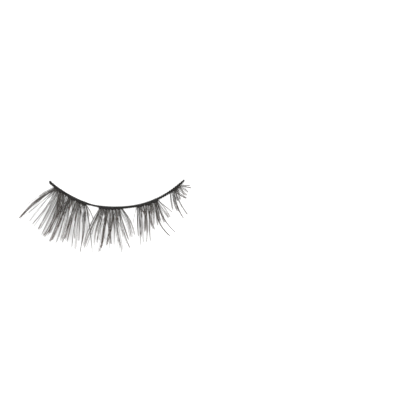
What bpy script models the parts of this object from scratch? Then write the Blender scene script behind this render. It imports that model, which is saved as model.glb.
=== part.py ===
"""A false eyelash strip: a thread band bent to the eyelid's curve, with four fans of lashes knotted to its outer side.

Units are metres and +Z is up. The strip lies on a surface at Z = 0: the band's underside is on it, the lashes run out
from the band towards -Y, lie on the surface for a short stretch and then curl up. -X is the outer corner of the eye,
where the lashes are longest, and +X is the inner corner. The origin is the middle of the whole strip's underside.
"""

import math
from collections import namedtuple

import bmesh
import bpy
from mathutils import Vector

MM = 0.001

# The band's centre line is an arc over this chord, and its outer half sags a little lower than the arc.
BAND_CHORD = 30.7 * MM
BAND_SAG = 6.15 * MM
OUTER_SAG = 0.2 * MM
OUTER_SAG_END = 0.55

# The band's section is a flat thread with soft edges, and its bare ends narrow.
BAND_WIDTH = 0.42 * MM
BAND_HEIGHT = 0.52 * MM
BAND_EDGE = 0.1 * MM
BAND_END_WIDTH = 0.34 * MM
BAND_END_TAPER = 2.4 * MM
BAND_STEPS = 31

# Each fan's lashes hang from a row of knots along the band's outer side.
KNOT_GAP = 0.05 * MM
KNOT_RADIUS = 0.22 * MM
KNOT_WAIST = 0.17 * MM
KNOT_PITCH = 0.62 * MM
KNOT_OVERHANG = 0.2 * MM

# A lash is this long seen from above. It lies on the surface for LIE_LENGTH and then curls up.
LASH_LENGTH = 11.0 * MM
LIE_LENGTH = 2.4 * MM
CURL_RADIUS = 8.5 * MM

# A lock is a bundle of hairs, thickest at its belly. Neighbouring locks lie in layers, one over the other.
HAIR_RADIUS = 0.058 * MM
TIP_RADIUS = 0.035 * MM
ROOT_SHARE = 0.85
BELLY_PLACE = 0.3
LAYER_RISE = 0.13 * MM
LOCK_POINTS = 8
THINNING_POWER = 1.5

# A curve's bevel resolution gives 8 sides to a row of knots and 6 to a lock.
ROW_ROUNDNESS = 2
LOCK_ROUNDNESS = 1

# Points closer than this are one, and a turn sharper than this is a crisp edge.
WELD_DISTANCE = 0.001 * MM
CRISP_ANGLE = math.radians(50)

# across: the root's place on the chord, 0 at the outer end. swing: degrees from -Y, positive towards +X.
# reach: share of LASH_LENGTH. bow: how far the middle bends aside, as a share of the reach, positive towards +X.
# layer: how many LAYER_RISE steps the lock lies above the surface. hairs: how many hairs thick it is.
Lock = namedtuple("Lock", "across swing reach bow layer hairs")

OUTER_LOCKS = [
    Lock(0.032, -56, 0.36, -0.045, 1, 3),
    Lock(0.046, -50, 0.98, -0.04, 0, 10),
    Lock(0.052, -50, 0.84, 0.02, 2, 2),
    Lock(0.055, -40, 0.85, -0.01, 1, 3),
    Lock(0.062, -36, 0.85, 0.03, 0, 4),
    Lock(0.066, 0, 0.50, 0.05, 2, 6),
    Lock(0.068, -27, 0.89, -0.015, 1, 6),
    Lock(0.085, -28, 0.88, 0, 0, 4),
    Lock(0.095, -22, 0.97, -0.01, 2, 6),
    Lock(0.118, -10, 0.57, 0.02, 3, 5),
    Lock(0.125, -18.5, 0.98, 0.01, 1, 7),
    Lock(0.140, -19, 0.94, 0.01, 0, 5),
    Lock(0.150, -15, 0.98, -0.005, 2, 2),
    Lock(0.160, -14.5, 0.91, -0.03, 1, 4),
    Lock(0.172, -36, 0.88, -0.065, 3, 7),
    Lock(0.197, -18, 0.90, -0.035, 0, 6),
    Lock(0.205, -17, 0.80, -0.035, 2, 5),
    Lock(0.208, -4, 0.42, 0.04, 3, 5),
    Lock(0.214, -14, 0.82, -0.015, 1, 5),
    Lock(0.222, -8, 0.95, -0.025, 0, 3),
    Lock(0.234, -5, 0.96, -0.02, 2, 3),
    Lock(0.238, -3, 0.78, -0.01, 1, 4),
    Lock(0.245, -2, 0.96, 0.005, 0, 4),
    Lock(0.252, -1.5, 0.97, 0, 2, 4),
    Lock(0.262, -2, 0.75, 0.035, 0, 6),
    Lock(0.272, -2, 0.76, 0.06, 4, 4),
    Lock(0.279, 7, 0.95, 0.005, 4, 4),
    Lock(0.284, 23.5, 0.32, 0.03, 4, 2),
]

CENTRE_LOCKS = [
    Lock(0.376, -22, 0.83, -0.04, 0, 7),
    Lock(0.384, -22, 0.79, 0, 0, 7),
    Lock(0.395, 14.5, 0.74, 0.02, 2, 6),
    Lock(0.400, -14, 0.76, -0.04, 1, 6),
    Lock(0.410, -12.5, 0.66, 0, 2, 2),
    Lock(0.412, -7, 0.87, 0.02, 0, 6),
    Lock(0.425, -7, 0.83, 0.01, 1, 6),
    Lock(0.438, -4.5, 0.75, 0, 2, 2),
    Lock(0.452, -2, 0.87, 0.005, 0, 2),
    Lock(0.472, -10, 0.72, 0.055, 0, 8),
    Lock(0.475, 1.5, 0.71, 0, 2, 3),
    Lock(0.482, 9, 0.73, -0.045, 1, 3),
    Lock(0.484, 6.5, 0.87, -0.02, 0, 2),
    Lock(0.492, 10, 0.87, -0.03, 2, 3),
    Lock(0.505, 18.5, 0.82, -0.025, 0, 5),
    Lock(0.515, 19, 0.63, -0.005, 1, 5),
    Lock(0.522, 21.5, 0.61, 0.05, 2, 3),
    Lock(0.540, 20.5, 0.60, 0.07, 0, 4),
    Lock(0.543, 25, 0.58, 0.07, 1, 3),
]

INNER_LOCKS = [
    Lock(0.643, -12, 0.33, -0.015, 1, 2),
    Lock(0.648, 1, 0.60, -0.02, 0, 4),
    Lock(0.655, 2.5, 0.77, -0.02, 2, 3),
    Lock(0.675, 1.5, 0.62, -0.02, 0, 7),
    Lock(0.690, 0, 0.73, 0.01, 2, 2),
    Lock(0.700, 1, 0.51, 0.01, 1, 5),
    Lock(0.706, 2.5, 0.73, 0.04, 0, 5),
    Lock(0.730, 15, 0.52, -0.055, 2, 5),
    Lock(0.742, 1, 0.76, -0.03, 0, 7),
    Lock(0.765, 1, 0.46, 0.025, 1, 5),
    Lock(0.780, 6, 0.46, -0.015, 0, 4),
    Lock(0.790, 21, 0.77, -0.12, 2, 3),
    Lock(0.795, 3, 0.40, -0.015, 0, 8),
    Lock(0.797, 22.5, 0.46, -0.02, 1, 7),
    Lock(0.800, 28.5, 0.74, -0.065, 2, 2),
    Lock(0.802, 35, 0.41, 0.005, 0, 7),
    Lock(0.806, 49.5, 0.37, 0.005, 1, 4),
]

CORNER_LOCKS = [
    Lock(0.887, 11.5, 0.33, -0.015, 1, 3),
    Lock(0.893, 23, 0.40, -0.03, 0, 4),
    Lock(0.917, 20, 0.61, -0.065, 2, 4),
    Lock(0.925, 28, 0.56, -0.06, 1, 3),
    Lock(0.930, 53, 0.29, -0.05, 0, 5),
    Lock(0.934, 8, 0.23, -0.01, 2, 4),
    Lock(0.940, 23, 0.24, 0.01, 1, 3),
    Lock(0.955, 47, 0.23, -0.08, 0, 3),
    Lock(0.965, 57, 0.21, 0.055, 1, 4),
    Lock(0.967, 17, 0.19, 0.04, 2, 3),
    Lock(0.972, 77, 0.21, 0, 0, 3),
    Lock(0.976, 86, 0.17, -0.02, 1, 3),
]

Fan = namedtuple("Fan", "name locks")
FANS = [
    Fan("outer_fan", OUTER_LOCKS),
    Fan("centre_fan", CENTRE_LOCKS),
    Fan("inner_fan", INNER_LOCKS),
    Fan("corner_fan", CORNER_LOCKS),
]


def clear_scene():
    for obj in list(bpy.data.objects):
        bpy.data.objects.remove(obj, do_unlink=True)


def new_collection(name):
    collection = bpy.data.collections.new(name)
    bpy.context.scene.collection.children.link(collection)
    return collection


def new_material(name, colour, roughness):
    material = bpy.data.materials.new(name)
    material.use_nodes = True
    shader = material.node_tree.nodes["Principled BSDF"]
    shader.inputs["Base Color"].default_value = (*colour, 1.0)
    shader.inputs["Roughness"].default_value = roughness
    shader.inputs["Metallic"].default_value = 0.0
    return material


def band_point(across):
    """A point of the band's centre line, seen from above, with the chord on the X axis."""
    x = (across - 0.5) * BAND_CHORD
    arc_radius = (BAND_CHORD**2 / 4 + BAND_SAG**2) / (2 * BAND_SAG)
    y = arc_radius - BAND_SAG - math.sqrt(arc_radius**2 - x**2)
    if across < OUTER_SAG_END:
        y -= OUTER_SAG * math.sin(math.pi * across / OUTER_SAG_END) ** 2
    return Vector((x, y, 0))


def outward(across):
    """The band's level normal there, pointing to the lashes' side."""
    step = 0.001
    low, high = max(0, across - step), min(1, across + step)
    along = (band_point(high) - band_point(low)).normalized()
    return Vector((along.y, -along.x, 0))


def beside_band(across, distance):
    return band_point(across) + outward(across) * distance


def band_width(across):
    """The band's width there: full along its middle, narrowing over the last stretch at either end."""
    from_end = min(across, 1 - across) * BAND_CHORD
    share = min(1, from_end / BAND_END_TAPER)
    return BAND_END_WIDTH + (BAND_WIDTH - BAND_END_WIDTH) * math.sin(share * math.pi / 2)


def curve_object(name, points, radii, thickness, roundness, collection):
    """A round solid along a line of points, with its own radius at each."""
    curve = bpy.data.curves.new(name, "CURVE")
    curve.dimensions = "3D"
    curve.bevel_depth = thickness
    curve.bevel_resolution = roundness
    curve.use_fill_caps = True
    spline = curve.splines.new("POLY")
    spline.points.add(len(points) - 1)
    for place, point, radius in zip(spline.points, points, radii):
        place.co = (*point, 1)
        place.radius = radius / thickness
    obj = bpy.data.objects.new(name, curve)
    collection.objects.link(obj)
    return obj


def mesh_from_curve(obj, collection):
    """The curve's evaluated shape as a closed mesh object, which can be joined to others."""
    bpy.context.view_layer.update()
    evaluated = obj.evaluated_get(bpy.context.evaluated_depsgraph_get())
    mesh = bpy.data.meshes.new_from_object(evaluated)
    shape = bmesh.new()
    shape.from_mesh(mesh)
    bmesh.ops.remove_doubles(shape, verts=shape.verts, dist=WELD_DISTANCE)
    shape.to_mesh(mesh)
    shape.free()
    name, place = obj.name, obj.matrix_world.copy()
    bpy.data.objects.remove(obj, do_unlink=True)
    mesh.shade_smooth()
    mesh.set_sharp_from_angle(angle=CRISP_ANGLE)
    solid = bpy.data.objects.new(name, mesh)
    solid.matrix_world = place
    collection.objects.link(solid)
    return solid


def make_band(collection, material):
    """The band: its outline from above, given its height, with soft edges."""
    stations = [step / BAND_STEPS for step in range(BAND_STEPS + 1)]
    outer = [beside_band(across, band_width(across) / 2) for across in stations]
    inner = [beside_band(across, -band_width(across) / 2) for across in reversed(stations)]
    outline = outer + inner
    curve = bpy.data.curves.new("band", "CURVE")
    curve.dimensions = "2D"
    curve.fill_mode = "BOTH"
    curve.extrude = BAND_HEIGHT / 2
    spline = curve.splines.new("POLY")
    spline.use_cyclic_u = True
    spline.points.add(len(outline) - 1)
    for place, point in zip(spline.points, outline):
        place.co = (*point, 1)
    band = bpy.data.objects.new("band", curve)
    collection.objects.link(band)
    band.location.z = BAND_HEIGHT / 2
    band = mesh_from_curve(band, collection)
    edges = band.modifiers.new("edges", "BEVEL")
    edges.width = BAND_EDGE
    edges.segments = 2
    edges.limit_method = "ANGLE"
    edges.angle_limit = CRISP_ANGLE
    band.data.materials.append(material)
    return band


def knot_row_distance():
    return BAND_WIDTH / 2 + KNOT_GAP + KNOT_RADIUS


def make_knot_row(fan, collection, material):
    """The lumpy row that a fan's lashes hang from, with a knot at every pitch."""
    first = min(lock.across for lock in fan.locks) - KNOT_OVERHANG / BAND_CHORD
    last = max(lock.across for lock in fan.locks) + KNOT_OVERHANG / BAND_CHORD
    knots = max(2, round((last - first) * BAND_CHORD / KNOT_PITCH))
    steps = 2 * knots
    points, radii = [], []
    for step in range(steps + 1):
        across = first + (last - first) * step / steps
        point = beside_band(across, knot_row_distance())
        point.z = BAND_HEIGHT / 2
        points.append(point)
        radii.append(KNOT_RADIUS if step % 2 else KNOT_WAIST)
    row = curve_object(fan.name, points, radii, KNOT_RADIUS, ROW_ROUNDNESS, collection)
    row = mesh_from_curve(row, collection)
    row.data.materials.append(material)
    return row


def lock_radius(lock, share):
    """The lock's radius at a share of its length: swelling to the belly, then thinning to the tip."""
    belly = HAIR_RADIUS * math.sqrt(lock.hairs)
    if share < BELLY_PLACE:
        return belly * (ROOT_SHARE + (1 - ROOT_SHARE) * share / BELLY_PLACE)
    thinning = ((share - BELLY_PLACE) / (1 - BELLY_PLACE)) ** THINNING_POWER
    return belly + (TIP_RADIUS - belly) * thinning


def lock_point(lock, share):
    """A point of the lock's centre line, from its root in the knot row to its tip."""
    heading = math.radians(lock.swing)
    ahead = Vector((math.sin(heading), -math.cos(heading), 0))
    aside = Vector((-ahead.y, ahead.x, 0))
    length = lock.reach * LASH_LENGTH
    run = length * share
    point = beside_band(lock.across, knot_row_distance()) + ahead * run
    point += aside * lock.bow * length * 4 * share * (1 - share)
    lying = HAIR_RADIUS * math.sqrt(lock.hairs) + lock.layer * LAYER_RISE
    settled = min(1, run / (LIE_LENGTH / 2))
    curled = max(0, run - LIE_LENGTH)
    point.z = BAND_HEIGHT / 2 + (lying - BAND_HEIGHT / 2) * settled + curled**2 / (2 * CURL_RADIUS)
    return point


def make_lock(name, lock, collection):
    shares = [step / (LOCK_POINTS - 1) for step in range(LOCK_POINTS)]
    points = [lock_point(lock, share) for share in shares]
    radii = [lock_radius(lock, share) for share in shares]
    obj = curve_object(name, points, radii, HAIR_RADIUS, LOCK_ROUNDNESS, collection)
    solid = mesh_from_curve(obj, collection)
    solid.hide_render = True
    solid.display_type = "WIRE"
    return solid


def make_fan(fan, parts, material):
    """One fan: its locks fused to its knot row."""
    row = make_knot_row(fan, parts, material)
    locks = new_collection(fan.name + "_locks")
    for index, lock in enumerate(fan.locks):
        make_lock(f"{fan.name}_lock_{index + 1}", lock, locks)
    fused = row.modifiers.new("locks", "BOOLEAN")
    fused.operation = "UNION"
    fused.operand_type = "COLLECTION"
    fused.collection = locks
    return row, list(locks.objects)


def settle_on_origin(parts, helpers):
    """Hangs everything from one empty, placed so that the middle of the strip's underside is the origin."""
    bpy.context.view_layer.update()
    graph = bpy.context.evaluated_depsgraph_get()
    corners = []
    for obj in parts:
        evaluated = obj.evaluated_get(graph)
        corners += [evaluated.matrix_world @ Vector(corner) for corner in evaluated.bound_box]
    low = Vector(min(corner[axis] for corner in corners) for axis in range(3))
    high = Vector(max(corner[axis] for corner in corners) for axis in range(3))
    strip = bpy.data.objects.new("false_eyelash_strip", None)
    bpy.context.scene.collection.objects.link(strip)
    for obj in parts + helpers:
        obj.parent = strip
    strip.location = (-(low.x + high.x) / 2, -(low.y + high.y) / 2, 0)


def main():
    clear_scene()
    parts = new_collection("false_eyelash_strip")
    thread = new_material("black_thread", (0.012, 0.011, 0.011), 0.6)
    fibre = new_material("lash_fibre", (0.022, 0.019, 0.018), 0.4)
    nodes = [make_band(parts, thread)]
    helpers = []
    for fan in FANS:
        row, locks = make_fan(fan, parts, fibre)
        nodes.append(row)
        helpers += locks
    settle_on_origin(nodes, helpers)


main()
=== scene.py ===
"""A false eyelash strip lying on a pale table, seen from straight above.

The band is a twisted thread, the knots are a finer thread whipped along its outer side, and every lash is a
hair of its own. The hairs follow the locks that the part's solids have, and a few more locks between them. A
lock is a ribbon of hairs side by side, widest at its belly, with finer stray and crossing hairs around it.
"""

import math
import random
from collections import namedtuple

import bpy
import numpy as np
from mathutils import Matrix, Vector


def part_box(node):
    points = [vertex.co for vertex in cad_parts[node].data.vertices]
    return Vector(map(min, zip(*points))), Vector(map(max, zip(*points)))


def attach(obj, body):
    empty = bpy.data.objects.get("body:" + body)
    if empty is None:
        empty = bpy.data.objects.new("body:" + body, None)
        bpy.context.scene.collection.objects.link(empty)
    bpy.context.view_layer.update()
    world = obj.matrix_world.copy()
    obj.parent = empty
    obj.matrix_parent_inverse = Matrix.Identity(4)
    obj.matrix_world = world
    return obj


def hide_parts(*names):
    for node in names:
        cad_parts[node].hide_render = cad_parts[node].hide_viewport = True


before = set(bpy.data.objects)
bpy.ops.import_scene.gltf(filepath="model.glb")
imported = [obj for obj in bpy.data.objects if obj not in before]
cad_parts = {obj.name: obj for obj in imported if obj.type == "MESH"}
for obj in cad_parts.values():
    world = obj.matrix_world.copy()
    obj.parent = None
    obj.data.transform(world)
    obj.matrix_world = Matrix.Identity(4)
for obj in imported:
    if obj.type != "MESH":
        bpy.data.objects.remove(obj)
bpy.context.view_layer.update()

MM = 0.001
rng = random.Random(7)

# The band's line: an arc over a chord, with its outer half sagging a little lower, much as the part has it.
# Its inner half sags a little too, and its outer end drops by a third of a millimetre, as in the picture.
BAND_CHORD = 30.7 * MM
BAND_SAG = 6.15 * MM
OUTER_SAG = 0.16 * MM
OUTER_SAG_END = 0.55
INNER_SAG = 0.08 * MM
INNER_SAG_START = 0.5
END_DROP = 0.34 * MM
END_DROP_REACH = 0.21
BAND_WIDTH = 0.42 * MM
BAND_HEIGHT = 0.52 * MM
BAND_END_WIDTH = 0.34 * MM
BAND_LENGTH_STEPS = 200

# The thread is three plies twisted together. Its cut ends are rounded over their last stretch.
PLY_COUNT = 3
PLY_RADIUS = 0.105 * MM
PLY_OFFSET = 0.1 * MM
PLY_SIDES = 10
PLY_STEPS_A_TURN = 14
TWIST_LENGTH = 1.5 * MM
CUT_END = 0.18 * MM
CUT_END_WIDTH = 0.7

# The plies reach THREAD_FULLNESS times the width given here, and THREAD_RISE of the height from its middle.
# The thread lies a little towards the lashes' side of the band's line and reaches just past both its ends.
# It swells at its outer end, thins to its inner end, and is pulled thinner at one place between two fans.
THREAD_FULLNESS = 1.5
THREAD_RISE = 0.47
THREAD_SHIFT = 0.05 * MM
THREAD_REACH = 1.008
THIN_PLACE = 0.33
THIN_REACH = 0.05
THIN_SHARE = 0.3
THREAD_END_WIDTHS = (0.48 * MM, 0.29 * MM)
THREAD_END_TAPERS = (2.4 * MM, 1.2 * MM)

# A knot is a fine thread wound round the band and round the roots beside it, fullest at its middle turn.
# Its pitch and its size change from knot to knot, as shares of the usual ones. Its ends have KNOT_END_WIDTH
# of its width, and KNOT_LEVEL of its height stays the same all along.
KNOT_TURNS = 5
KNOT_LENGTH = 0.55 * MM
KNOT_PITCH = 0.66 * MM
KNOT_PITCHES = (0.8, 1.25)
KNOT_SIZES = (0.6, 1.1)
KNOT_THREAD = 0.05 * MM
KNOT_SIDES = 6
KNOT_STEPS_A_TURN = 14
KNOT_INNER = 0.25 * MM
KNOT_OUTER = 0.68 * MM
KNOT_HEIGHT = 0.25 * MM
KNOT_END_WIDTH = 0.62
KNOT_LEVEL = 0.8
ROW_DISTANCE = 0.48 * MM

# The longest lash is this long seen from above. A lash lies on the table for a stretch and then curls up.
# A hair has a share of the whole curl, and less the higher it lies: next to none at FLAT_HEIGHT.
LASH_LENGTH = 11.0 * MM
LIE_LENGTH = 2.4 * MM
CURL_RADIUS = 8.5 * MM
CURL_SHARES = (0.92, 0.98)
FLAT_HEIGHT = LASH_LENGTH * 0.4
LAYER_RISE = 0.13 * MM

# One hair. It keeps its thickness up to the taper place, a share of its length, and then thins a little.
# Its middle stays HAIR_LOWEST or more over the table.
HAIR_SIDES = 5
HAIR_STEPS = 12
HAIR_RADIUS = 0.043 * MM
HAIR_TIP_RADIUS = 0.038 * MM
HAIR_LOWEST = HAIR_RADIUS * 1.2
TAPER_PLACE = 0.9

# Most hairs are rooted near their lock's own root, and the others cross over from the knots around it.
# A root is drawn some way to its knot, at a share of ROW_DISTANCE, and eases into its lock soon or late.
ROOT_REACHES = (0.1 * MM, 0.2 * MM, 0.35 * MM, 0.6 * MM)
ROOT_DEPTHS = (0.2, 1.0)
ROOT_EASES = (2.0, 5.0)
KNOT_PULL = 0.45

# A lock is a little narrower at its root and at its tip than at its belly.
ROOT_WIDTH = 0.75
BELLY_PLACE = 0.3
TIP_PLACE = 0.6
TIP_WIDTH = 0.8

# How the hairs of a lock differ, as shares of its length and of a hair's radius, in degrees, in bow, and in
# their slots side by side. LYING_RADII is how high a hair lies over its lock's layer, in hair radii.
LOCK_LENGTHS = (0.97, 1.0, 1.01, 1.03)
LOCK_LENGTH_CHANGE = (0.99, 1.01)
LOCK_THICKNESSES = (0.85, 1.15)
LOCK_SWING_CHANGE = 0.4
LOCK_BOW_CHANGE = 0.006
LYING_RADII = (1.2, 4.0)
SLOT_PLACES = (0.3, 0.7)

# A stray hair is short, middling or long, as a share of its locks' reach, and leans less the longer it is.
# Crossing hairs are short and lean to either side. Both lie in any layer and are finer than a lock's hairs.
STRAY_LENGTHS = ((0.25, 0.6), (0.5, 0.95), (0.8, 1.03))
STRAY_LEAN = 16
STRAY_LEAN_LOSS = 13
STRAY_BOW_CHANGE = 0.02
STRAY_THICKNESSES = (0.5, 0.8)
CROSSING_LEANS = (8, 34)
CROSSING_REACHES = (0.12, 0.34)
CROSSING_BOW = 0.12
CROSSING_THICKNESSES = (0.55, 0.85)
LOOSE_LAYERS = (0, 3)

# across: the root's place on the chord, 0 at the outer end. swing: degrees from -Y, positive towards +X.
# reach: share of LASH_LENGTH. bow: how far the middle bends aside, a share of the reach, positive towards +X.
# layer: how many LAYER_RISE steps the lock lies above the table. hairs: how many hairs it has.
# width: how wide its ribbon of hairs is at the belly, as a share of LASH_LENGTH.
Lock = namedtuple("Lock", "across swing reach bow layer hairs width")

OUTER_LOCKS = [
    Lock(0.034, -58, 0.34, -0.01, 1, 2, 0.03),
    Lock(0.045, -49.8, 0.94, -0.052, 0, 8, 0.055),
    Lock(0.052, -50, 0.84, 0.01, 2, 1, 0.01),
    Lock(0.055, -40, 0.85, -0.02, 1, 2, 0.03),
    Lock(0.062, -36, 0.86, 0.02, 0, 3, 0.04),
    Lock(0.064, -33, 0.89, 0.01, 1, 1, 0.01),
    Lock(0.066, -3.5, 0.61, 0.08, 2, 4, 0.06),
    Lock(0.068, -27, 0.89, 0.005, 1, 3, 0.03),
    Lock(0.085, -28, 0.88, 0, 0, 2, 0.025),
    Lock(0.080, -19.5, 0.96, 0.065, 2, 6, 0.05),
    Lock(0.086, -23, 0.96, 0.015, 1, 4, 0.04),
    Lock(0.100, -21.5, 0.97, 0.05, 1, 6, 0.06),
    Lock(0.112, -9, 0.61, 0.01, 3, 1, 0.01),
    Lock(0.125, -18.8, 1, 0.03, 1, 6, 0.045),
    Lock(0.140, -19.5, 0.95, 0.03, 0, 4, 0.035),
    Lock(0.150, -15.5, 0.98, 0.015, 2, 3, 0.03),
    Lock(0.163, -12.5, 0.88, 0.01, 1, 5, 0.04),
    Lock(0.172, -33.5, 0.86, -0.075, 3, 7, 0.055),
    Lock(0.190, -40, 0.21, 0, 3, 3, 0.03),
    Lock(0.197, -17.5, 0.90, 0, 0, 4, 0.035),
    Lock(0.205, -16.5, 0.82, -0.005, 2, 5, 0.04),
    Lock(0.207, -6, 0.40, 0.03, 3, 4, 0.035),
    Lock(0.212, -14, 0.84, -0.015, 1, 3, 0.03),
    Lock(0.218, -5.5, 0.74, -0.02, 1, 2, 0.02),
    Lock(0.224, -8.5, 0.95, -0.025, 0, 2, 0.01),
    Lock(0.228, -4.5, 0.96, 0, 2, 3, 0.02),
    Lock(0.233, -2, 0.78, 0, 1, 3, 0.025),
    Lock(0.250, -2.3, 0.99, 0.03, 0, 3, 0.022),
    Lock(0.256, -1.5, 0.80, 0.02, 2, 2, 0.02),
    Lock(0.262, -2, 0.75, 0.035, 0, 1, 0.01),
    Lock(0.272, 3, 0.56, 0.035, 4, 1, 0.05),
    Lock(0.279, 7, 0.95, 0.005, 4, 2, 0.015),
    Lock(0.282, 7, 0.51, 0.02, 3, 1, 0.025),
    Lock(0.284, 23.5, 0.32, 0.03, 4, 2, 0.015),
]

CENTRE_LOCKS = [
    Lock(0.376, -22.5, 0.85, -0.025, 0, 4, 0.075),
    Lock(0.384, -22.3, 0.84, -0.015, 0, 3, 0.07),
    Lock(0.395, 14.5, 0.74, 0.045, 2, 3, 0.04),
    Lock(0.402, -15.4, 0.74, -0.055, 1, 4, 0.04),
    Lock(0.412, -13, 0.72, -0.03, 1, 2, 0.03),
    Lock(0.418, -8, 0.87, 0.035, 0, 4, 0.03),
    Lock(0.430, -8, 0.80, -0.01, 1, 3, 0.03),
    Lock(0.445, -12, 0.84, -0.02, 1, 3, 0.035),
    Lock(0.450, -5, 0.74, 0.02, 1, 3, 0.02),
    Lock(0.452, -2, 0.87, 0.005, 0, 1, 0.01),
    Lock(0.460, -1, 0.70, -0.025, 2, 3, 0.035),
    Lock(0.472, -9.5, 0.72, 0.035, 0, 5, 0.045),
    Lock(0.475, 1.5, 0.71, 0.01, 2, 3, 0.02),
    Lock(0.478, -6, 0.31, 0.02, 3, 1, 0.01),
    Lock(0.482, 9, 0.75, -0.045, 1, 2, 0.06),
    Lock(0.484, 6.5, 0.87, -0.01, 0, 1, 0.01),
    Lock(0.492, 10, 0.88, -0.025, 2, 3, 0.05),
    Lock(0.497, -2, 0.22, 0.05, 3, 3, 0.04),
    Lock(0.505, 18, 0.83, -0.025, 0, 3, 0.03),
    Lock(0.512, 9.5, 0.58, -0.005, 2, 1, 0.01),
    Lock(0.515, 18, 0.65, -0.01, 1, 4, 0.03),
    Lock(0.522, 21.5, 0.61, 0.05, 2, 2, 0.025),
    Lock(0.538, 20.5, 0.60, 0.07, 0, 3, 0.035),
    Lock(0.543, 25, 0.58, 0.07, 1, 2, 0.025),
]

INNER_LOCKS = [
    Lock(0.643, -12, 0.33, -0.015, 1, 2, 0.015),
    Lock(0.650, 2.5, 0.61, -0.015, 0, 3, 0.03),
    Lock(0.658, 48, 0.19, 0.03, 3, 4, 0.03),
    Lock(0.668, 0.8, 0.78, 0.005, 2, 3, 0.025),
    Lock(0.676, 1, 0.62, -0.02, 0, 3, 0.035),
    Lock(0.684, 2.5, 0.73, -0.01, 2, 2, 0.015),
    Lock(0.706, 1, 0.51, 0.01, 1, 5, 0.04),
    Lock(0.713, 2, 0.74, 0.03, 0, 4, 0.03),
    Lock(0.730, 14, 0.53, -0.045, 2, 4, 0.04),
    Lock(0.742, 1, 0.76, -0.02, 0, 3, 0.02),
    Lock(0.748, 3, 0.46, 0.01, 2, 2, 0.03),
    Lock(0.754, 0, 0.22, 0, 3, 3, 0.05),
    Lock(0.763, 3, 0.46, 0.02, 1, 2, 0.04),
    Lock(0.780, 6, 0.48, -0.015, 0, 2, 0.03),
    Lock(0.788, 22, 0.77, -0.13, 2, 6, 0.02),
    Lock(0.791, 9, 0.42, -0.01, 0, 4, 0.05),
    Lock(0.797, 19, 0.46, 0, 2, 4, 0.05),
    Lock(0.800, 28.5, 0.72, -0.085, 2, 4, 0.015),
    Lock(0.802, 34, 0.42, 0.01, 0, 5, 0.09),
    Lock(0.806, 49.5, 0.37, 0.005, 1, 2, 0.015),
]

CORNER_LOCKS = [
    Lock(0.889, 11, 0.33, -0.01, 1, 3, 0.035),
    Lock(0.904, 16, 0.40, -0.04, 0, 2, 0.025),
    Lock(0.916, 15, 0.42, -0.04, 1, 2, 0.03),
    Lock(0.921, 19, 0.61, -0.07, 2, 3, 0.015),
    Lock(0.925, 28, 0.56, -0.045, 1, 3, 0.015),
    Lock(0.930, 54, 0.29, -0.04, 0, 4, 0.045),
    Lock(0.934, 9, 0.23, -0.01, 2, 2, 0.03),
    Lock(0.940, 19, 0.23, 0.02, 1, 3, 0.05),
    Lock(0.955, 47, 0.23, -0.04, 0, 3, 0.05),
    Lock(0.963, 55, 0.21, 0.04, 1, 3, 0.035),
    Lock(0.967, 18, 0.19, 0.04, 2, 2, 0.025),
    Lock(0.972, 77, 0.21, 0, 0, 2, 0.02),
    Lock(0.976, 87, 0.17, -0.01, 1, 2, 0.02),
]

# first_knot, last_knot: where its row of knots starts and ends. stray: how many single hairs lie between its
# locks. crossing: how many short hairs each knot has, apart from the first and the last one.
# knot_size, thickness: shares of the usual knot and hair.
Fan = namedtuple("Fan", "name node locks first_knot last_knot stray crossing knot_size thickness")
FANS = [
    Fan("outer", "outer_fan", OUTER_LOCKS, 0.044, 0.262, 28, 2, 1.0, 1.0),
    Fan("centre", "centre_fan", CENTRE_LOCKS, 0.378, 0.535, 20, 2, 1.0, 1.0),
    Fan("inner", "inner_fan", INNER_LOCKS, 0.658, 0.791, 14, 2, 1.1, 0.95),
    Fan("corner", "corner_fan", CORNER_LOCKS, 0.905, 0.945, 7, 1, 0.8, 0.92),
]


# The band's line on the table


def find_chord():
    """The middle of the band's chord, from the band's own box. Its highest Y is its two ends' inner side."""
    low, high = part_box("band")
    lean = outward_from_chord(0)
    return Vector(((low.x + high.x) / 2, high.y + lean.y * BAND_END_WIDTH / 2, 0))


def arc_from_chord(across):
    """A point of the band's line, measured from the middle of its chord."""
    x = (across - 0.5) * BAND_CHORD
    arc_radius = (BAND_CHORD**2 / 4 + BAND_SAG**2) / (2 * BAND_SAG)
    y = arc_radius - BAND_SAG - math.sqrt(arc_radius**2 - x**2)
    if 0 < across < OUTER_SAG_END:
        y -= OUTER_SAG * math.sin(math.pi * across / OUTER_SAG_END) ** 2
    if INNER_SAG_START < across < 1:
        y -= INNER_SAG * math.sin(math.pi * (across - INNER_SAG_START) / (1 - INNER_SAG_START)) ** 2
    if across < END_DROP_REACH:
        y -= END_DROP * (1 - across / END_DROP_REACH) ** 2
    return Vector((x, y, 0))


def outward_from_chord(across):
    """The band's level normal there, pointing to the lashes' side."""
    step = 0.001
    low, high = max(0, across - step), min(1, across + step)
    along = (arc_from_chord(high) - arc_from_chord(low)).normalized()
    return Vector((along.y, -along.x, 0))


CHORD_MIDDLE = find_chord()


def beside_band(across, distance, height=0.0):
    """A point on the lashes' side of the band's centre line, at a height over the table."""
    point = CHORD_MIDDLE + arc_from_chord(across) + outward_from_chord(across) * distance
    point.z = height
    return point


def thread_width(across):
    """The thread's width there: it swells a little at its outer end, and thins to its inner end."""
    end = 0 if across < 0.5 else 1
    from_end = min(across, 1 - across) * BAND_CHORD
    share = min(1, max(0, from_end / THREAD_END_TAPERS[end]))
    return THREAD_END_WIDTHS[end] + (BAND_WIDTH - THREAD_END_WIDTHS[end]) * math.sin(share * math.pi / 2)


def band_length():
    """The band's own length, measured along its centre line."""
    stations = [step / BAND_LENGTH_STEPS for step in range(BAND_LENGTH_STEPS + 1)]
    points = [arc_from_chord(across) for across in stations]
    return sum((second - first).length for first, second in zip(points, points[1:]))


# Hand tools


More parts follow.
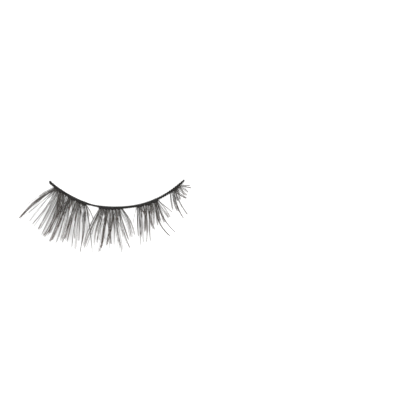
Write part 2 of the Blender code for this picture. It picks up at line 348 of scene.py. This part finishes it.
def deselect():
    bpy.ops.object.select_all(action="DESELECT")


def name_active(name):
    piece = bpy.context.active_object
    piece.name = name
    piece.data.name = name
    return piece


def join_all(objects, name):
    """Joins the objects into one piece of that name, at the origin."""
    deselect()
    for obj in objects:
        obj.select_set(True)
    bpy.context.view_layer.objects.active = objects[0]
    bpy.ops.object.join()
    piece = name_active(name)
    bpy.ops.object.shade_smooth()
    deselect()
    return piece


def apply_modifiers(piece):
    deselect()
    piece.select_set(True)
    bpy.context.view_layer.objects.active = piece
    for modifier in list(piece.modifiers):
        bpy.ops.object.modifier_apply(modifier=modifier.name)


def corners_of(mesh):
    flat = np.empty(len(mesh.vertices) * 3)
    mesh.vertices.foreach_get("co", flat)
    return flat.reshape(-1, 3)


def move_corners(mesh, corners):
    mesh.vertices.foreach_set("co", np.asarray(corners, float).ravel())
    mesh.update()


def bend_to_band(mesh, corners):
    """Bends a straight mesh to the band's line, which mirrors it, and turns its faces outwards again."""
    move_corners(mesh, corners)
    mesh.flip_normals()


def write_attribute(mesh, name, values):
    attribute = mesh.attributes.new(name, "FLOAT", "POINT")
    attribute.data.foreach_set("value", np.asarray(values, float))


def dress(piece, material):
    """Gives a finished piece its material and its place in the part."""
    piece.data.materials.append(material)
    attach(piece, "root")


# Materials

# A pair holds the two colours between which a finish changes, the darker first.
LASH_ROOT_COLOURS = ((0.024, 0.0215, 0.019), (0.072, 0.065, 0.057))
LASH_TIP_COLOURS = ((0.065, 0.05, 0.044), (0.14, 0.11, 0.096))
BAND_COLOURS = ((0.012, 0.011, 0.01), (0.03, 0.028, 0.026))
KNOT_COLOURS = ((0.006, 0.005, 0.005), (0.022, 0.02, 0.019))
TABLE_COLOUR = (0.9, 0.9, 0.9, 1)

# How many patches of each noise there are in a metre: on the lashes, in the band's wax, in the threads' fuzz.
LASH_PATCHES = 900.0
WAX_PATCHES = 420.0
BAND_FUZZ = 9000.0
KNOT_FUZZ = 12000.0
FUZZ_DETAIL = 4.0


class Wire:
    """A node's output, on which sums and products add their own nodes."""

    def __init__(self, graph, socket):
        self.graph = graph
        self.socket = socket

    def __add__(self, other):
        return self.graph.maths("ADD", self, other)

    __radd__ = __add__

    def __sub__(self, other):
        return self.graph.maths("SUBTRACT", self, other)

    def __rsub__(self, other):
        return self.graph.maths("SUBTRACT", other, self)

    def __mul__(self, other):
        return self.graph.maths("MULTIPLY", self, other)

    __rmul__ = __mul__

    def __pow__(self, other):
        return self.graph.maths("POWER", self, other)


class Graph:
    """A material's nodes."""

    def __init__(self, name):
        self.material = bpy.data.materials.new(name)
        self.material.use_nodes = True
        self.tree = self.material.node_tree
        self.shader = self.tree.nodes["Principled BSDF"]

    def feed(self, socket, value):
        if isinstance(value, Wire):
            self.tree.links.new(value.socket, socket)
        else:
            socket.default_value = value

    def add(self, kind, output, settings=None, **inputs):
        """Adds a node: its settings first, then its inputs, by name with spaces written as underscores."""
        node = self.tree.nodes.new(kind)
        for name, value in (settings or {}).items():
            setattr(node, name, value)
        for name, value in inputs.items():
            self.feed(node.inputs[name.replace("_", " ")], value)
        return Wire(self, node.outputs[output])

    def maths(self, operation, first, second):
        node = self.tree.nodes.new("ShaderNodeMath")
        node.operation = operation
        self.feed(node.inputs[0], first)
        self.feed(node.inputs[1], second)
        return Wire(self, node.outputs[0])

    def mix(self, factor, first, second):
        """A colour between two others, at a share that may change over the surface."""
        node = self.tree.nodes.new("ShaderNodeMix")
        node.data_type = "RGBA"
        self.feed(node.inputs["Factor"], factor)
        for name, value in (("A", first), ("B", second)):
            socket = [s for s in node.inputs if s.name == name and s.type == "RGBA"][0]
            self.feed(socket, value if isinstance(value, Wire) else (*value, 1))
        output = [s for s in node.outputs if s.type == "RGBA"][0]
        return Wire(self, output)

    def attribute(self, name):
        return self.add("ShaderNodeAttribute", "Fac", {"attribute_name": name})

    def place(self):
        return self.add("ShaderNodeTexCoord", "Object")

    def noise(self, scale, detail=2.0):
        return self.add("ShaderNodeTexNoise", "Fac", None, Vector=self.place(), Scale=scale, Detail=detail)

    def finish(self, **inputs):
        for name, value in inputs.items():
            self.feed(self.shader.inputs[name.replace("_", " ")], value)
        return self.material

    def bump(self, height, strength, distance):
        return self.add("ShaderNodeBump", "Normal", None, Height=height, Strength=strength, Distance=distance)


def lash_material():
    """Soft black fibre with a warm cast, paler and browner towards its tip."""
    graph = Graph("lash_fibre")
    along = graph.attribute("along")
    tone = graph.attribute("tone")
    patches = graph.noise(LASH_PATCHES)
    root_colour = graph.mix(tone, *LASH_ROOT_COLOURS)
    tip_colour = graph.mix(tone, *LASH_TIP_COLOURS)
    colour = graph.mix(along**1.6, root_colour, tip_colour)
    rough = 0.34 + patches * 0.16 + along * 0.1
    return graph.finish(Base_Color=colour, Roughness=rough, Specular_IOR_Level=0.4)


def thread_material():
    """Black waxed thread, with fine fuzz all over and dried wax that shines a little in patches."""
    graph = Graph("band_thread")
    wax = graph.noise(WAX_PATCHES)
    fuzz = graph.noise(BAND_FUZZ, FUZZ_DETAIL)
    colour = graph.mix(fuzz, *BAND_COLOURS)
    rough = 0.75 - wax * 0.15 + fuzz * 0.1
    coat = wax * wax * 0.1
    normal = graph.bump(fuzz, strength=0.35, distance=0.01 * MM)
    return graph.finish(
        Base_Color=colour,
        Roughness=rough,
        Coat_Weight=coat,
        Normal=normal,
        Specular_IOR_Level=0.2,
    )


def whipping_material():
    """The finer, blacker thread of the knots."""
    graph = Graph("knot_thread")
    fuzz = graph.noise(KNOT_FUZZ, FUZZ_DETAIL)
    colour = graph.mix(fuzz, *KNOT_COLOURS)
    rough = 0.6 + fuzz * 0.15
    normal = graph.bump(fuzz, strength=0.4, distance=0.008 * MM)
    return graph.finish(Base_Color=colour, Roughness=rough, Normal=normal, Specular_IOR_Level=0.2)


# The band: a straight twisted thread, then bent to the band's line


def model_ply(name, length, sides, radius, offset, turn_length, steps_a_turn):
    """One ply of a straight thread along +Z: a ring beside it, screwed up it and closed at both ends."""
    turns = length / turn_length
    steps = round(turns * steps_a_turn)
    deselect()
    bpy.ops.mesh.primitive_circle_add(
        vertices=sides,
        radius=radius,
        location=(offset, 0, 0),
        rotation=(math.pi / 2, 0, 0),
    )
    ply = name_active(name)
    bpy.ops.object.transform_apply(location=True, rotation=True, scale=True)
    screw = ply.modifiers.new("twist", "SCREW")
    screw.axis = "Z"
    screw.angle = 2 * math.pi * turns
    screw.screw_offset = length
    screw.steps = steps
    screw.render_steps = steps
    screw.merge_threshold = 0.0001 * MM
    apply_modifiers(ply)
    bpy.ops.object.mode_set(mode="EDIT")
    bpy.ops.mesh.select_all(action="SELECT")
    bpy.ops.mesh.fill_holes(sides=0)
    bpy.ops.mesh.select_all(action="SELECT")
    bpy.ops.mesh.normals_make_consistent(inside=False)
    bpy.ops.object.mode_set(mode="OBJECT")
    return ply


def turned_copy(obj, angle):
    """A copy with its own mesh, turned about +Z."""
    copy = obj.copy()
    copy.data = obj.data.copy()
    bpy.context.scene.collection.objects.link(copy)
    copy.rotation_euler.z = angle
    deselect()
    copy.select_set(True)
    bpy.context.view_layer.objects.active = copy
    bpy.ops.object.transform_apply(location=True, rotation=True, scale=True)
    return copy


def end_share(distance):
    """How much of its width the thread has at a distance from a cut end."""
    if distance >= CUT_END:
        return 1.0
    rounding = math.sqrt(max(0.0, 1 - (1 - distance / CUT_END) ** 2))
    return CUT_END_WIDTH + (1 - CUT_END_WIDTH) * rounding


def make_band():
    length = band_length()
    first = model_ply("ply", length, PLY_SIDES, PLY_RADIUS, PLY_OFFSET, TWIST_LENGTH, PLY_STEPS_A_TURN)
    plies = [first] + [turned_copy(first, 2 * math.pi * turn / PLY_COUNT) for turn in range(1, PLY_COUNT)]
    band = join_all(plies, "band_thread")
    thread_radius = PLY_RADIUS + PLY_OFFSET
    bent = []
    for x, y, z in corners_of(band.data):
        across = (z / length - 0.5) * THREAD_REACH + 0.5
        slim = end_share(min(z, length - z))
        thin = 1 - THIN_SHARE * math.exp(-(((across - THIN_PLACE) / THIN_REACH) ** 2))
        sideways = x / thread_radius * thread_width(across) * THREAD_FULLNESS / 2 * slim * thin
        upright = y / thread_radius * BAND_HEIGHT * THREAD_RISE * slim
        bent.append(beside_band(across, THREAD_SHIFT + sideways, BAND_HEIGHT / 2 + upright))
    bend_to_band(band.data, bent)
    return band


# The knots: one wound straight up, and every knot of the strip a bent copy of it


def model_knot():
    """A coil round +Z with a full core, one unit long and one unit out to the coil's outer side."""
    thread = KNOT_THREAD / KNOT_HEIGHT
    knot = model_ply("knot", 1.0, KNOT_SIDES, thread, 1.0 - thread, 1.0 / KNOT_TURNS, KNOT_STEPS_A_TURN)
    deselect()
    bpy.ops.mesh.primitive_uv_sphere_add(segments=10, ring_count=6, radius=1.0 - thread, location=(0, 0, 0.5))
    core = name_active("knot_core")
    core.scale.z = 0.5
    bpy.ops.object.transform_apply(location=True, rotation=True, scale=True)
    return join_all([knot, core], "knot")


def tie_knot(knot, across, size):
    """A copy of the knot, tied round the band at a place on it and round the roots on its outer side."""
    copy = bpy.data.objects.new("tied_knot", knot.data.copy())
    bpy.context.scene.collection.objects.link(copy)
    middle = (KNOT_OUTER - KNOT_INNER) / 2
    reach = (KNOT_OUTER + KNOT_INNER) / 2
    tied = []
    for x, y, z in corners_of(copy.data):
        fullness = KNOT_END_WIDTH + (1 - KNOT_END_WIDTH) * math.sin(math.pi * min(1, max(0, z)))
        outward = max(middle + x * reach * fullness * size, -KNOT_INNER)
        tallness = KNOT_LEVEL + (1 - KNOT_LEVEL) * fullness
        height = BAND_HEIGHT / 2 + y * KNOT_HEIGHT * tallness * min(1.0, size)
        along = (z - 0.5) * KNOT_LENGTH * size
        tied.append(beside_band(across + along / BAND_CHORD, outward, height))
    bend_to_band(copy.data, tied)
    return copy


def place_knots(fan):
    """The places of a fan's knots on the chord, unevenly spaced as tied by hand."""
    across = fan.first_knot
    places = []
    while across < fan.last_knot:
        places.append(across)
        across += KNOT_PITCH * rng.uniform(*KNOT_PITCHES) / BAND_CHORD
    return places + [fan.last_knot]


def make_knots(fan, places, knot):
    tied = [tie_knot(knot, across, fan.knot_size * rng.uniform(*KNOT_SIZES)) for across in places]
    return join_all(tied, fan.name + "_knots")


# The lashes: one straight hair, and every lash a bent copy of it


def model_straight_hair():
    """A straight hair along +Z, closed at both ends, one unit long and with a radius of one unit."""
    deselect()
    bpy.ops.mesh.primitive_circle_add(vertices=HAIR_SIDES, radius=1.0, fill_type="NGON")
    hair = name_active("straight_hair")
    bpy.ops.object.mode_set(mode="EDIT")
    bpy.ops.mesh.select_all(action="SELECT")
    for _ in range(HAIR_STEPS):
        bpy.ops.mesh.extrude_region_move(TRANSFORM_OT_translate={"value": (0, 0, 1 / HAIR_STEPS)})
    bpy.ops.mesh.select_all(action="SELECT")
    bpy.ops.mesh.normals_make_consistent(inside=False)
    bpy.ops.object.mode_set(mode="OBJECT")
    write_attribute(hair.data, "along", corners_of(hair.data)[:, 2])
    return hair


def hair_radius(share, thickness):
    """A fibre keeps its thickness for most of its length and then thins a little to its tip."""
    if share < TAPER_PLACE:
        return thickness
    thinning = (share - TAPER_PLACE) / (1 - TAPER_PLACE)
    return thickness + (HAIR_TIP_RADIUS - thickness) * thinning


def bend_hair(straight, points, thickness, tone):
    """A copy of the straight hair, bent along the points."""
    path = np.array([tuple(point) for point in points])
    ahead = np.gradient(path, axis=0)
    ahead /= np.linalg.norm(ahead, axis=1)[:, None]
    side = np.cross(ahead, (0, 0, 1))
    side /= np.linalg.norm(side, axis=1)[:, None]
    up = np.cross(ahead, side)
    corners = corners_of(straight.data)
    ring = np.rint(corners[:, 2] * HAIR_STEPS).astype(int)
    radii = np.array([hair_radius(step / HAIR_STEPS, thickness) for step in range(HAIR_STEPS + 1)])
    bent = path[ring]
    bent = bent + side[ring] * (corners[:, 0] * radii[ring])[:, None]
    bent = bent + up[ring] * (corners[:, 1] * radii[ring])[:, None]
    hair = bpy.data.objects.new("hair", straight.data.copy())
    bpy.context.scene.collection.objects.link(hair)
    move_corners(hair.data, bent)
    write_attribute(hair.data, "tone", np.full(len(corners), tone))
    return hair


def lash_height(run, lying, curl):
    """A lash's height at a distance from its root: down from its knot to the table, along it, and then up."""
    settled = min(1.0, run / (LIE_LENGTH / 2))
    curled = max(0.0, run - LIE_LENGTH)
    return BAND_HEIGHT / 2 + (lying - BAND_HEIGHT / 2) * settled + curled**2 / (2 * CURL_RADIUS) * curl


def curl_above(lying):
    """How fully a hair curls: less where it lies higher, so that the tips end at much the same height."""
    return rng.uniform(*CURL_SHARES) - lying / FLAT_HEIGHT


def ahead_of(swing):
    heading = math.radians(swing)
    return Vector((math.sin(heading), -math.cos(heading), 0))


def root_beside(across, reach, knots):
    """A root in the row of knots, near a place on the band and drawn some way towards the nearest knot."""
    place = across + rng.gauss(0, reach) / BAND_CHORD
    place = min(max(across, knots[-1]), max(min(across, knots[0]), place))
    knot = min(knots, key=lambda tied: abs(tied - place))
    return beside_band(place + (knot - place) * KNOT_PULL, rng.uniform(*ROOT_DEPTHS) * ROW_DISTANCE)


def width_at(lock_share):
    """How much of its width a lock has at a share of its length."""
    if lock_share < BELLY_PLACE:
        return ROOT_WIDTH + (1 - ROOT_WIDTH) * lock_share / BELLY_PLACE
    if lock_share < TIP_PLACE:
        return 1.0
    return 1 + (TIP_WIDTH - 1) * min(1.0, (lock_share - TIP_PLACE) / (1 - TIP_PLACE))


def lay_hair(lock, start, length, slot, lying, curl):
    """A hair's points: it slides over from its own start to its slot in the lock, and follows the lock."""
    root = beside_band(lock.across, ROW_DISTANCE)
    ahead = ahead_of(lock.swing)
    aside = Vector((-ahead.y, ahead.x, 0))
    lock_length = lock.reach * LASH_LENGTH
    ease = rng.uniform(*ROOT_EASES)
    points = []
    for step in range(HAIR_STEPS + 1):
        share = step / HAIR_STEPS
        run = length * share
        lock_share = run / lock_length
        bend = lock.bow * lock_length * 4 * lock_share * (1 - lock_share)
        point = root + ahead * run + aside * (bend + slot * width_at(lock_share))
        point += (start - root) * (1 - share) ** ease
        point.z = max(HAIR_LOWEST, lash_height(run, lying, curl))
        points.append(point)
    return points


def hairs_of_lock(fan, lock, knots, straight):
    """A lock's hairs: side by side in a ribbon, some crossing at the roots, and all ending near its tip."""
    hairs = []
    width = lock.width * LASH_LENGTH
    for index in range(lock.hairs):
        length = lock.reach * LASH_LENGTH * rng.choice(LOCK_LENGTHS) * rng.uniform(*LOCK_LENGTH_CHANGE)
        start = root_beside(lock.across, rng.choice(ROOT_REACHES), knots)
        swing = lock.swing + rng.gauss(0, LOCK_SWING_CHANGE)
        bow = lock.bow + rng.gauss(0, LOCK_BOW_CHANGE)
        own = lock._replace(swing=swing, bow=bow)
        lying = HAIR_RADIUS * rng.uniform(*LYING_RADII) + lock.layer * LAYER_RISE
        slot = ((index + rng.uniform(*SLOT_PLACES)) / lock.hairs - 0.5) * width
        points = lay_hair(own, start, length, slot, lying, curl_above(lying))
        thickness = HAIR_RADIUS * fan.thickness * rng.uniform(*LOCK_THICKNESSES)
        hairs.append(bend_hair(straight, points, thickness, rng.random()))
    return hairs


def stray_hairs(fan, knots, straight):
    """Single finer hairs between the locks. The short ones lean more and cross each other at the roots."""
    hairs = []
    for _ in range(fan.stray):
        across = rng.uniform(fan.locks[0].across, fan.locks[-1].across)
        pick = max(index for index in range(len(fan.locks) - 1) if fan.locks[index].across <= across)
        first, second = fan.locks[pick], fan.locks[pick + 1]
        mix = rng.random()
        share = rng.choice([rng.uniform(*lengths) for lengths in STRAY_LENGTHS])
        lean = rng.gauss(0, STRAY_LEAN - STRAY_LEAN_LOSS * share)
        own = Lock(
            across=across,
            swing=first.swing + (second.swing - first.swing) * mix + lean,
            reach=first.reach + (second.reach - first.reach) * mix,
            bow=first.bow + (second.bow - first.bow) * mix + rng.gauss(0, STRAY_BOW_CHANGE),
            layer=rng.uniform(*LOOSE_LAYERS),
            hairs=1,
            width=0,
        )
        start = root_beside(own.across, ROOT_REACHES[-1], knots)
        lying = HAIR_RADIUS + own.layer * LAYER_RISE
        points = lay_hair(own, start, own.reach * LASH_LENGTH * share, 0.0, lying, curl_above(lying))
        thickness = HAIR_RADIUS * fan.thickness * rng.uniform(*STRAY_THICKNESSES)
        hairs.append(bend_hair(straight, points, thickness, rng.random()))
    return hairs


def swing_between(fan, across):
    """The locks' own direction at a place on the band."""
    places = [lock.across for lock in fan.locks]
    swings = [lock.swing for lock in fan.locks]
    return float(np.interp(across, places, swings))


def crossing_hairs(fan, knots, straight):
    """The short curved hairs of the knots, which cross the ones of the next knots and leave small gaps."""
    hairs = []
    for knot in knots[1:-1]:
        for _ in range(fan.crossing):
            lean = rng.choice((-1, 1)) * rng.uniform(*CROSSING_LEANS)
            swing = swing_between(fan, knot) + lean
            reach = rng.uniform(*CROSSING_REACHES)
            bow = lean / CROSSING_LEANS[1] * rng.uniform(0.0, CROSSING_BOW)
            own = Lock(knot, swing, reach, bow, layer=rng.uniform(*LOOSE_LAYERS), hairs=1, width=0)
            start = root_beside(knot, ROOT_REACHES[0], knots)
            lying = HAIR_LOWEST + own.layer * LAYER_RISE
            points = lay_hair(own, start, reach * LASH_LENGTH, 0.0, lying, 1.0)
            thickness = HAIR_RADIUS * fan.thickness * rng.uniform(*CROSSING_THICKNESSES)
            hairs.append(bend_hair(straight, points, thickness, rng.random()))
    return hairs


def make_lashes(fan, knots, straight):
    hairs = []
    for lock in fan.locks:
        hairs += hairs_of_lock(fan, lock, knots, straight)
    hairs += stray_hairs(fan, knots, straight)
    hairs += crossing_hairs(fan, knots, straight)
    return join_all(hairs, fan.name + "_lashes")


# The table, the light and the camera

# The picture's side in pixels, how much of the table a pixel covers, and the pixel at the part's origin.
PICTURE_SIDE = 420
PIXEL = 0.23 * MM
STRIP_PIXEL = (104.89, 215.59)

# The camera's height and the nearest thing that it sees, in metres, and its sensor's width, in millimetres.
CAMERA_HEIGHT = 1.2
NEAREST_SEEN = 0.01
SENSOR = 36.0

# The table's side in metres, and how bright the white room around it is.
TABLE_SIDE = 6.0
ROOM_STRENGTH = 0.95


def make_table():
    deselect()
    bpy.ops.mesh.primitive_plane_add(size=TABLE_SIDE, location=(0, 0, 0))
    table = name_active("table")
    graph = Graph("pale_table")
    table.data.materials.append(graph.finish(Base_Color=TABLE_COLOUR, Roughness=0.7))


def soft_box(name, place, size, power):
    """A square area light that faces the strip."""
    light = bpy.data.lights.new(name, "AREA")
    light.shape = "SQUARE"
    light.size = size
    light.energy = power
    obj = bpy.data.objects.new(name, light)
    bpy.context.scene.collection.objects.link(obj)
    obj.location = place
    obj.rotation_euler = (-Vector(place)).to_track_quat("-Z", "Y").to_euler()


def make_light():
    world = bpy.data.worlds.new("studio")
    world.use_nodes = True
    background = world.node_tree.nodes["Background"]
    background.inputs["Color"].default_value = (1, 1, 1, 1)
    background.inputs["Strength"].default_value = ROOM_STRENGTH
    bpy.context.scene.world = world
    soft_box("key_light", place=(-0.35, 0.35, 0.7), size=0.5, power=4.0)
    soft_box("fill_light", place=(0.5, -0.3, 0.6), size=0.6, power=2.5)
    bpy.context.scene.view_settings.view_transform = "Standard"


def make_camera():
    """Straight above the picture's middle, far off with a long lens, so that all pixels cover the same."""
    camera = bpy.data.objects.new("camera", bpy.data.cameras.new("camera"))
    bpy.context.scene.collection.objects.link(camera)
    camera.data.sensor_width = SENSOR
    camera.data.lens = SENSOR * CAMERA_HEIGHT / (PICTURE_SIDE * PIXEL)
    camera.data.clip_start = NEAREST_SEEN
    middle = PICTURE_SIDE / 2
    camera.location = ((middle - STRIP_PIXEL[0]) * PIXEL, (STRIP_PIXEL[1] - middle) * PIXEL, CAMERA_HEIGHT)
    bpy.context.scene.camera = camera


def main():
    make_camera()
    make_light()
    make_table()
    band = make_band()
    dress(band, thread_material())
    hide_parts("band")
    whipping = whipping_material()
    fibre = lash_material()
    straight = model_straight_hair()
    knot = model_knot()
    for fan in FANS:
        places = place_knots(fan)
        knots = make_knots(fan, places, knot)
        dress(knots, whipping)
        lashes = make_lashes(fan, places, straight)
        dress(lashes, fibre)
        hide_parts(fan.node)
    bpy.data.objects.remove(straight, do_unlink=True)
    bpy.data.objects.remove(knot, do_unlink=True)


main()
